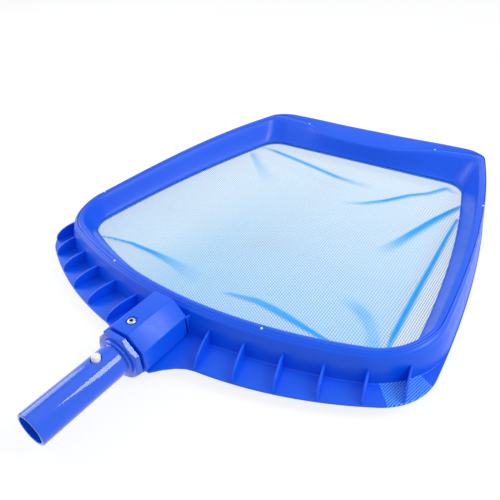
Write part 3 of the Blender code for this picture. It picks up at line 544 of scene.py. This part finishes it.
# ------------------------------------------------------------ moulded frame: rim, flange, ribs, socket block
def frame_section(i):
    """Flange, outer wall rolled into the top band, seam edge, lap shelf, hollow underside and net ledge."""
    s, e = STATIONS[i], EDGE[i]
    h, top = s.height, s.top()
    shelf = h - s.drop - LAP_T - CLEAR
    pts = [(Vector((e.x, e.y, FLANGE_Z - FLANGE_T)), 0.0005), (Vector((e.x, e.y, FLANGE_Z)), 0.0006),
           (s.at(0, 0), 0.0010), (s.at(s.lean * 0.5, h * 0.5), 0), (s.at(s.lean, h * 0.76), 0)]
    pts += [(s.at(d, z), 0) for d, z in top[:-1]]
    pts += [(s.at(s.seam, h - s.drop), SEAM_ROUND), (s.at(s.seam, shelf), 0.0002),
            (s.at(s.seam + LAP_W, shelf), 0.0002), (s.at(s.seam + LAP_W, shelf - LAP_T), 0.0002)]
    knee = s.shoulder + WALL_T * 0.55
    mid = max(s.shoulder * 0.45 + s.seam * 0.55, knee + WALL_T * 0.4)
    (d0, z0), (d1, z1) = top[-2:]
    under = z0 + (z1 - z0) * min(max((mid - d0) / (d1 - d0), 0), 1) - WALL_T * 1.3
    if mid > s.seam - WALL_T:
        under = min(under, shelf - LAP_T)
    pts += [(s.at(d, z), 0) for d, z in ((mid, under), (knee, h * 0.935 - WALL_T * 1.1),
                                         (s.lean + WALL_T * 1.05, h * 0.70),
                                         (s.lean * 0.5 + WALL_T, h * 0.42))]
    pts += [(s.at(WALL_T * 1.1, 0), 0.0008), (s.at(s.width, 0), 0.0003), (s.at(s.width, -FLANGE_T), 0.0003)]
    return rounded([p for p, r in pts], [r for p, r in pts])


def along_foot(dist):
    """Point on the right wall foot at a distance from the rear middle."""
    left = dist
    for a, b in zip(FOOT, FOOT[1:]):
        step = (b - a).length
        if left <= step:
            return a.lerp(b, left / step)
        left -= step
    raise ValueError("rib past the rim")


def reach(p, d, loop):
    """Distance from p along d to a loop."""
    best = None
    for a, b in zip(loop, loop[1:] + loop[:1]):
        e = b - a
        det = d.x * -e.y + e.x * d.y
        if abs(det) < 1e-12:
            continue
        w = a - p
        t = (w.x * -e.y + e.x * w.y) / det
        u = (d.x * w.y - d.y * w.x) / det
        if t > 1e-5 and 0 <= u <= 1 and (best is None or t < best):
            best = t
    return best


def rib(k, side):
    """Gusset rib: quarter-ellipse top, thin, with a softly rounded edge."""
    p = along_foot(RIB_START + k * RIB_PITCH)
    turn = math.radians(RIB_TURNS[k])
    d = Vector((math.sin(turn), -math.cos(turn)))
    length = reach(p, d, EDGE) - RIB_T * 0.4
    across = Vector((-d.y, d.x, 0)) * RIB_T
    root = WALL_T * 0.55
    prof = [(-root, -FLANGE_T / 2), (length, -FLANGE_T / 2), (length, RIB_H * 0.03)]
    steps = 20
    for m in range(1, steps + 1):
        a = math.pi / 2 * m / steps
        prof.append((length * math.cos(a), RIB_H * (0.03 + 0.97 * math.sin(a))))
    prof.append((-root - LEAN_REAR * RIB_H, RIB_H))
    pts = []
    for s, z in prof:
        q = p + d * s
        pts.append(Vector((q.x, q.y, FLANGE_Z + z)) - across / 2)
    bm = prism(pts, across)
    bevelled(bm, 0.0005, [e for e in bm.edges if abs((e.verts[0].co - e.verts[1].co).normalized()
                                                     .dot(across.normalized())) < 0.5])
    if side < 0:
        bmesh.ops.scale(bm, verts=bm.verts, vec=(-1, 1, 1))
        bmesh.ops.recalc_face_normals(bm, faces=bm.faces)
    return bm


def web(side):
    """Thin web from the block's rear edge to the rim wall."""
    x = side * (BLOCK_AF / 2 - WEB_T / 2)
    foot_y = BACK_Y + BACK_BOW_R - math.sqrt(BACK_BOW_R ** 2 - x * x)
    root = WALL_T * 0.5
    back = BACK_Y + BLOCK_INTO_WALL - WALL_T
    prof = [(back, -FLANGE_T / 2), (foot_y + root, -FLANGE_T / 2),
            (foot_y + root + LEAN_REAR * WEB_H * 0.6, WEB_H * 0.6),
            (foot_y + root + LEAN_REAR * WEB_H * 1.15, WEB_H * 0.96), (back, WEB_H)]
    side_face = [Vector((x - WEB_T / 2, y, FLANGE_Z + z)) for y, z in prof]
    return bevelled(prism(side_face, Vector((WEB_T, 0, 0))), 0.0003)


def socket_block():
    """Octagonal socket with its bore and the rivet's countersunk pocket."""
    back = BACK_Y + BLOCK_INTO_WALL
    block = prism(octagon(BLOCK_AF, BLOCK_FRONT_Y), Vector((0, back - BLOCK_FRONT_Y, 0)))
    bevelled(block, BLOCK_EDGE)
    bore_r, bore_end = SHANK_R + CLEAR, back - BORE_END_WALL
    bore = spun([(0, BLOCK_FRONT_Y - 0.002), (bore_r + 0.0008, BLOCK_FRONT_Y - 0.002),
                 (bore_r + 0.0008, BLOCK_FRONT_Y + 0.0002), (bore_r, BLOCK_FRONT_Y + 0.001),
                 (bore_r, bore_end), (0, bore_end)], 72, "Y", (0, 0, AXIS_H))
    top = AXIS_H + BLOCK_AF / 2
    pocket = spun([(0, AXIS_H + SHANK_R), (RIVET_R + CLEAR, AXIS_H + SHANK_R),
                   (RIVET_R + CLEAR, top - RECESS_D), (RECESS_R - 0.0003, top - RECESS_D),
                   (RECESS_R, top - RECESS_D + 0.0003), (RECESS_R, top - 0.0003),
                   (RECESS_R + 0.0003, top + 0.0001), (RECESS_R + 0.0003, top + 0.001), (0, top + 0.001)],
                  48, "Z", (0, RIVET_Y, 0))
    return carved(block, [(bore, "DIFFERENCE"), (pocket, "DIFFERENCE")])


shell = sweep([frame_section(i) for i in range(len(FOOT))])
parts = [shell, socket_block(), web(1), web(-1)] + [rib(k, s) for k in range(len(RIB_TURNS)) for s in (1, -1)]
body = finish(join(parts), "rim_flange_and_socket", FRAME_BLUE, 34)
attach(body, "head")
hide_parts("frame_body")


# ------------------------------------------------------------ retaining ring
def ring_section(i):
    """Lapped seam edge, rounded crest, inner wall sloping down to the net, hollow behind."""
    s = STATIONS[i]
    h, run = s.height - s.drop, RUN_SHARE * (s.width - s.seam)
    edge, lap = s.seam + CLEAR, s.seam + LAP_W + CLEAR
    net_top, under, crest = CLEAR + NET_T + CLEAR, h - LAP_T, s.width - run
    # shares of the inner wall's run and of the height, from the crest down
    wall = [(0.0, 0.965), (0.14, 0.86), (0.38, 0.60), (0.66, 0.31), (0.88, 0.12)]
    pts = [(s.at(edge, h), SEAM_ROUND), (s.at((edge + crest) / 2, h + CREST_RISE), 0)]
    pts += [(s.at(crest + run * f, h * z), 0) for f, z in wall]
    pts += [(s.at(s.width, net_top + 0.0008), 0.0004), (s.at(s.width, net_top), 0.0002),
            (s.at(s.width - RING_T * 1.2, net_top), 0.0002)]
    pts += [(s.at(crest + run * f - RING_T, h * z * 0.95), 0) for f, z in wall[:2:-1]]
    pts += [(s.at(crest + run * 0.30 - RING_T, h * 0.60), 0),
            (s.at(max(crest - RING_T * 0.4, lap + 0.0004), under - 0.0008), 0.0003),
            (s.at(lap + 0.0002, under - 0.0008), 0.0001), (s.at(lap, under), 0.0001),
            (s.at(edge, under), 0.0002)]
    return rounded([p for p, r in pts], [r for p, r in pts])


ring = finish(sweep([ring_section(i) for i in range(len(FOOT))]), "net_retaining_ring", RING_BLUE, 34)
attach(ring, "head")
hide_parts("net_ring")

# ------------------------------------------------------------ net
CREASE_RISE = 2.4                        # height of the strongest crease, mm
NET_STEP = 0.0015                        # grid of the sheet, metres
# Creases pressed into the cloth, in the part's own plan before it is centred, mm: how soft the left and the
# right side of the line is as a share of its width, the pale reach beside its hard side, and points of
# (x, y, width, how azure)
CREASES = [
    (0.5, 0.2, 11, [(-166, 90, 1.0, 0.6), (-150, 94, 1.5, 0.95), (-122, 99, 2.4, 1.0), (-86, 99, 3.8, 0.95),
                    (-60, 97, 6.0, 0.60), (-36, 93, 9.0, 0.25), (-14, 87, 11.0, 0.0)]),
    (0.35, 0.2, 11, [(10, 86, 1.5, 0.0), (22, 89, 2.6, 0.70), (48, 94, 4.8, 0.85), (66, 93, 5.2, 0.88),
                     (82, 91, 5.0, 0.90), (112, 86, 3.2, 0.95), (132, 83, 2.0, 0.95), (150, 80, 1.6, 0.9)]),
    (1.0, 1.0, 0, [(110, 142, 3.0, 0.0), (121, 138, 4.0, 0.30), (131, 135, 4.6, 0.50), (137, 131, 4.8, 0.55),
                   (145, 125, 4.2, 0.48), (152, 116, 3.8, 0.40), (160, 102, 4.0, 0.42), (164, 92, 4.0, 0.40)]),
    (0.35, 0.35, 9, [(172, 100, 1.0, 0.8), (170, 120, 2.6, 1.0), (168, 153, 2.8, 1.0), (166, 190, 2.7, 1.0),
                     (164, 236, 2.5, 1.0), (161, 291, 2.0, 1.0), (160, 327, 1.6, 0.9)]),
    (0.4, 0.9, 0, [(108, 224, 6.0, 0.0), (113, 234, 6.0, 0.25), (120, 251, 4.6, 0.70), (126, 273, 4.0, 0.95),
                   (138, 314, 3.6, 1.0), (149, 345, 2.8, 1.0), (156, 362, 2.0, 0.8)]),
    (1.0, 0.5, 0, [(28, 296, 3.0, 0.0), (42, 301, 2.6, 0.30), (57, 309, 2.8, 0.75), (76, 327, 3.0, 1.0),
                   (95, 353, 3.0, 0.95), (114, 371, 2.8, 0.9), (127, 393, 3.0, 0.85), (138, 388, 2.5, 0.25)]),
    (1.6, 0.5, 0, [(-150, 384, 1.5, 0.1), (-135, 384, 2.0, 0.45), (-113, 380, 2.6, 0.95), (-57, 367, 2.6, 0.9),
                   (-4, 353, 2.6, 0.9), (28, 349, 3.0, 0.4), (52, 348, 4.0, 0.0)]),
    (1.5, 0.6, 0, [(-150, 367, 2.0, 0.0), (-138, 354, 2.8, 0.50), (-119, 337, 3.6, 0.42), (-93, 313, 5.0, 0.22),
                   (-66, 288, 7.0, 0.0)]),
]


def crease_field(xy):
    """Height in mm, azure share and pale share of the cloth at points in mm."""
    height, azure, pale = np.zeros(len(xy)), np.zeros(len(xy)), np.zeros(len(xy))
    for left, right, reach_mm, rows in CREASES:
        rows = np.array(rows, float)
        best = np.full(len(xy), 1e9)
        side, wide, strong = np.ones(len(xy)), np.ones(len(xy)), np.zeros(len(xy))
        for a, b in zip(rows[:-1], rows[1:]):
            run = b[:2] - a[:2]
            t = np.clip(((xy - a[:2]) @ run) / (run @ run), 0, 1)
            off = xy - (a[:2] + t[:, None] * run)
            d = np.linalg.norm(off, axis=1)
            near = d < best
            best = np.where(near, d, best)
            side = np.where(near, np.sign(run[0] * off[:, 1] - run[1] * off[:, 0]), side)
            wide = np.where(near, a[2] + (b[2] - a[2]) * t, wide)
            strong = np.where(near, a[3] + (b[3] - a[3]) * t, strong)
        out = np.maximum(best - wide / 2, 0)
        soft = wide * np.where(side > 0, left, right) + 0.5
        azure = np.maximum(azure, strong * np.exp(-(out / soft) ** 2))
        height = np.maximum(height, CREASE_RISE * strong * np.exp(-(best / (wide * 0.5 + 1.5)) ** 2))
        if reach_mm:
            hard = side < 0 if left > right else side > 0
            pale = np.maximum(pale, np.where(hard, 0.6 * strong * np.exp(-(best / reach_mm) ** 2), 0))
    return height, azure, pale


# the strip between the long crease on the right and the ring is taut and pale: x of the crease at y, mm
PULL_Y, PULL_X = (60, 100, 153, 190, 236, 291, 327, 345), (176, 172, 168, 166, 164, 161, 160, 175)


def net_sheet():
    """Flat net out to the end of its grip under the ring, cut into a fine grid."""
    grip = [s.foot + s.dir * (s.width - NET_GRIP) for s in STATIONS]
    bm = bmesh.new()
    bm.faces.new([bm.verts.new((p.x, p.y, NET_Z)) for p in grip])
    lo_x, hi_x = min(p.x for p in grip), max(p.x for p in grip)
    lo_y, hi_y = min(p.y for p in grip), max(p.y for p in grip)
    for lo, hi, no in ((lo_x, hi_x, (1, 0, 0)), (lo_y, hi_y, (0, 1, 0))):
        n = int((hi - lo) / NET_STEP)
        for k in range(1, n):
            c = lo + (hi - lo) * k / n
            bmesh.ops.bisect_plane(bm, geom=bm.verts[:] + bm.edges[:] + bm.faces[:], dist=1e-7,
                                   plane_co=(c if no[0] else 0, c if no[1] else 0, NET_Z), plane_no=no)
    return bm


cloth = net_sheet()
places = np.array([(v.co.x * 1000, v.co.y * 1000) for v in cloth.verts])
flat_area = sum(f.calc_area() for f in cloth.faces)
rise, azure, pale = crease_field(places)
beyond = places[:, 0] - np.interp(places[:, 1], PULL_Y, PULL_X)      # mm into the pulled strip
pale = np.maximum(pale, np.clip(beyond / 2.0, 0, 1)) * (1 - azure)
# the wash deepens over 320 mm towards the handle, and is weaker on the left
wash = np.clip((400 - places[:, 1]) / 320, 0, 1) ** 1.15
wash = wash * (1 - 0.55 * np.clip((-40 - places[:, 0]) / 60, 0, 1))
# the yarns wander a little; their spacing grows from 1 at y = 80 mm by 0.0008 for each mm
grow = 0.0008
spacing = 1.0 + grow * (places[:, 1] - 80)
along = (places[:, 0] - 75) / spacing + 0.7 * np.sin(places[:, 1] / 41) + 0.3 * np.maximum(beyond, 0)
cross = np.log(spacing) / grow + 0.8 * np.sin(places[:, 0] / 47)
uv = cloth.loops.layers.uv.new("threads")
cloth.verts.ensure_lookup_table()
cloth.verts.index_update()
for face in cloth.faces:
    for loop in face.loops:
        k = loop.vert.index
        loop[uv].uv = (along[k] / 1000, cross[k] / 1000)
for layer, values in (("fold", azure), ("wash", wash), ("pale", pale)):
    lay = cloth.verts.layers.float.new(layer)
    for v, value in zip(cloth.verts, values):
        v[lay] = value
for v, h in zip(cloth.verts, rise):
    v.co.z += h / 1000
net = finish(cloth, "clamped_net", NET, 180)
if net.data.polygons[0].normal.z < 0:
    net.data.flip_normals()
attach(net, "head")
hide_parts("net")

# ------------------------------------------------------------ pole stub
y_neck = BLOCK_FRONT_Y - CLEAR
y_nut = BLOCK_FRONT_Y - NUT_GAP
y_disc = y_nut - NUT_L
y_tube = y_disc - DISC_L
bore_end = BACK_Y + BLOCK_INTO_WALL - BORE_END_WALL
bore_tube = TUBE_R - TUBE_WALL


def pole_stub():
    """Turned tube, disc, neck and shank with the octagonal nut, both button holes and the rivet's hole."""
    # from the bore's mouth round the tube's open end, along it to the disc, and back inside as the shank
    prof = [(bore_tube, TUBE_END_Y + 0.0004), (bore_tube + 0.0004, TUBE_END_Y),
            (TUBE_R - TUBE_EDGE, TUBE_END_Y), (TUBE_R - TUBE_EDGE * 0.3, TUBE_END_Y + TUBE_EDGE * 0.3),
            (TUBE_R, TUBE_END_Y + TUBE_EDGE), (TUBE_R, TUBE_END_Y + TUBE_EDGE + 0.0006),
            (TUBE_R, y_tube - 0.0014), (TUBE_R, y_tube - 0.0008),
            (TUBE_R + 0.0003, y_tube - 0.0002), (TUBE_R + 0.0009, y_tube),
            (DISC_R - 0.0005, y_tube), (DISC_R - 0.0001, y_tube + 0.0002), (DISC_R, y_tube + 0.0005),
            (DISC_R, y_disc + 0.0002), (DISC_R, y_nut - NUT_L / 2), (NECK_R, y_nut - NUT_L / 2),
            (NECK_R, y_neck), (SHANK_R, y_neck), (SHANK_R, bore_end - CLEAR), (bore_tube, bore_end - CLEAR)]
    stub = spun(prof, 96, "Y", (0, 0, AXIS_H))
    nut = bevelled(prism(octagon(NUT_AF, y_disc), Vector((0, NUT_L, 0))), 0.0005)
    # a turned cone takes off the nut's corners on the side of the disc
    cone = spun([(0, y_disc - 0.0001), (NUT_TURN_R * 0.90, y_disc - 0.0001),
                 (NUT_TURN_R, y_disc + NUT_L * 0.30), (NUT_TURN_R * 1.2, y_disc + NUT_L * 0.75),
                 (NUT_TURN_R * 1.2, y_nut + 0.001), (0, y_nut + 0.001)], 96, "Y", (0, 0, AXIS_H))
    nut = carved(nut, [(cone, "INTERSECT")])
    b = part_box("snap_button_top")
    y_hole = (b[0].y + b[1].y) / 2 + CENTRE_Y
    r_hole = (b[1].x - b[0].x) / 2 + 0.0010
    holes = spun([(0, AXIS_H - TUBE_R * 1.3), (r_hole, AXIS_H - TUBE_R * 1.3),
                  (r_hole, AXIS_H + TUBE_R * 1.3), (0, AXIS_H + TUBE_R * 1.3)], 40, "Z", (0, y_hole, 0))
    pilot = spun([(0, AXIS_H), (RIVET_R + CLEAR, AXIS_H), (RIVET_R + CLEAR, AXIS_H + SHANK_R * 1.2),
                  (0, AXIS_H + SHANK_R * 1.2)], 20, "Z", (0, RIVET_Y, 0))
    bore = spun([(0, y_disc - 0.002), (SHANK_R * 0.95, y_disc - 0.002), (SHANK_R * 0.95, y_nut + 0.004),
                 (0, y_nut + 0.004)], 96, "Y", (0, 0, AXIS_H))
    nut = carved(nut, [(bore, "DIFFERENCE")])
    return carved(stub, [(nut, "UNION"), (holes, "DIFFERENCE"), (pilot, "DIFFERENCE")])


stub = finish(pole_stub(), "pole_stub_with_collar", STUB_BLUE, 30)
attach(stub, "head")
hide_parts("pole_stub")


# ------------------------------------------------------------ small parts carried over from the solids
def carried(node, body, mat, name, smooth):
    """A welded, smooth copy of a solid of the frame."""
    bm = bmesh.new()
    bm.from_mesh(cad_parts[node].data)
    bmesh.ops.remove_doubles(bm, verts=bm.verts, dist=WELD)
    bmesh.ops.translate(bm, verts=bm.verts, vec=(0, CENTRE_Y, 0))
    ob = finish(bm, name, mat, smooth)
    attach(ob, body)
    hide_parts(node)


carried("blind_rivet", "head", RIVET_ALU, "rivet_dome", 50)
carried("rivet_mandrel", "head", MANDREL, "rivet_pin", 50)
carried("clip_bend", "head", SPRING, "clip_spring_bend", 40)
carried("clip_leg_top", "snap_top", SPRING, "clip_spring_leg_top", 40)
carried("clip_leg_bottom", "snap_bottom", SPRING, "clip_spring_leg_bottom", 40)
carried("snap_button_top", "snap_top", ACETAL, "button_dome_top", 50)
carried("snap_button_bottom", "snap_bottom", ACETAL, "button_dome_bottom", 50)
for n in range(1, 7):
    carried("seam_peg_%d" % n, "head", ACETAL, "peg_dot_%d" % n, 50)

# ------------------------------------------------------------ floor, light and camera
def floor_white():
    """White paper, which keeps a faint shadow."""
    mat = new_material("studio floor paper")
    path = add(mat, "LightPath")
    paper = add(mat, "BsdfDiffuse", values=[("Color", (0.90, 0.90, 0.90, 1))])
    # the eye sees a nearly white sheet with a faint shadow of the piece on it
    glow = add(mat, "Emission", values=[("Color", (1, 1, 1, 1)), ("Strength", 1.06)])
    sure = add(mat, "MixShader", [(1, paper, "BSDF"), (2, glow, "Emission")], [(0, 0.80)])
    seen = add(mat, "Math", [(0, path, "Is Camera Ray"), (1, path, "Is Glossy Ray")], operation="MAXIMUM")
    seen = add(mat, "Math", [(0, seen, "Value"), (1, path, "Is Transmission Ray")], operation="MAXIMUM")
    out = add(mat, "MixShader", [(0, seen, "Value"), (1, paper, "BSDF"), (2, sure, "Shader")])
    add(mat, "OutputMaterial", [("Surface", out, "Shader")])
    return mat


sheet = bmesh.new()
bmesh.ops.create_grid(sheet, x_segments=2, y_segments=2, size=6.0)
bmesh.ops.translate(sheet, verts=sheet.verts, vec=(0, CENTRE_Y, -0.0004))
floor = finish(sheet, "studio_floor", floor_white(), recalc=False)

world = bpy.data.worlds.new("studio")
bpy.context.scene.world = world
world.use_nodes = True
world.node_tree.nodes.clear()
path = add(world, "LightPath")
plain = add(world, "Background", values=[("Color", (1, 1, 1, 1)), ("Strength", 1.0)])
dim = add(world, "Background", values=[("Color", (0.93, 0.96, 1.0, 1)), ("Strength", 0.60)])
# the white backdrop is what the eye, a reflection and a view through the net meet; the dimmer one gives light
seen = add(world, "Math", [(0, path, "Is Camera Ray"), (1, path, "Is Glossy Ray")], operation="MAXIMUM")
seen = add(world, "Math", [(0, seen, "Value"), (1, path, "Is Transmission Ray")], operation="MAXIMUM")
both = add(world, "MixShader", [(0, seen, "Value"), (1, dim, "Background"), (2, plain, "Background")])
add(world, "OutputWorld", [("Surface", both, "Shader")])


def softbox(name, place, width, height, radiance):
    """Rectangular lamp that faces the middle of the head."""
    lamp = bpy.data.lights.new(name, "AREA")
    lamp.shape, lamp.size, lamp.size_y = "RECTANGLE", width, height
    lamp.energy = radiance * math.pi * width * height
    ob = bpy.data.objects.new(name, lamp)
    bpy.context.scene.collection.objects.link(ob)
    ob.location = place
    ob.rotation_mode = "QUATERNION"
    ob.rotation_quaternion = (-place).to_track_quat("-Z", "Y")


# direction from the head, distance, width and height in metres, and radiance
for name, way, far, width, height, radiance in (
        ("overhead softbox", (0.1, 0.1, 1.0), 2.0, 1.6, 1.6, 0.4),
        ("left softbox", (-0.90, -0.1, 0.50), 1.8, 1.1, 1.0, 3.2),
        ("key softbox", (0.71, 0.29, 0.64), 1.47, 0.50, 0.74, 8.6)):
    softbox(name, Vector(way).normalized() * far, width, height, radiance)

# the view of the photograph: 53 degrees wide, from above and behind the socket, on its right
camera = bpy.data.cameras.new("photo view")
camera.lens, camera.sensor_width, camera.sensor_fit = 35.900, 36.0, "HORIZONTAL"
camera.clip_start, camera.clip_end = 0.01, 50
eye = bpy.data.objects.new("photo view", camera)
bpy.context.scene.collection.objects.link(eye)
right, down = Vector((0.81591, 0.57658, -0.0429)), Vector((0.30459, -0.4917, -0.81575))
forward = Vector((-0.49145, 0.65252, -0.57681))
turn = Matrix((right, -down, -forward)).transposed().to_4x4()
eye.matrix_world = Matrix.Translation((0.255123, -0.186468 - CENTRE_Y, 0.305571 + FLANGE_Z)) @ turn
bpy.context.scene.camera = eye
bpy.context.scene.view_settings.view_transform = "Standard"
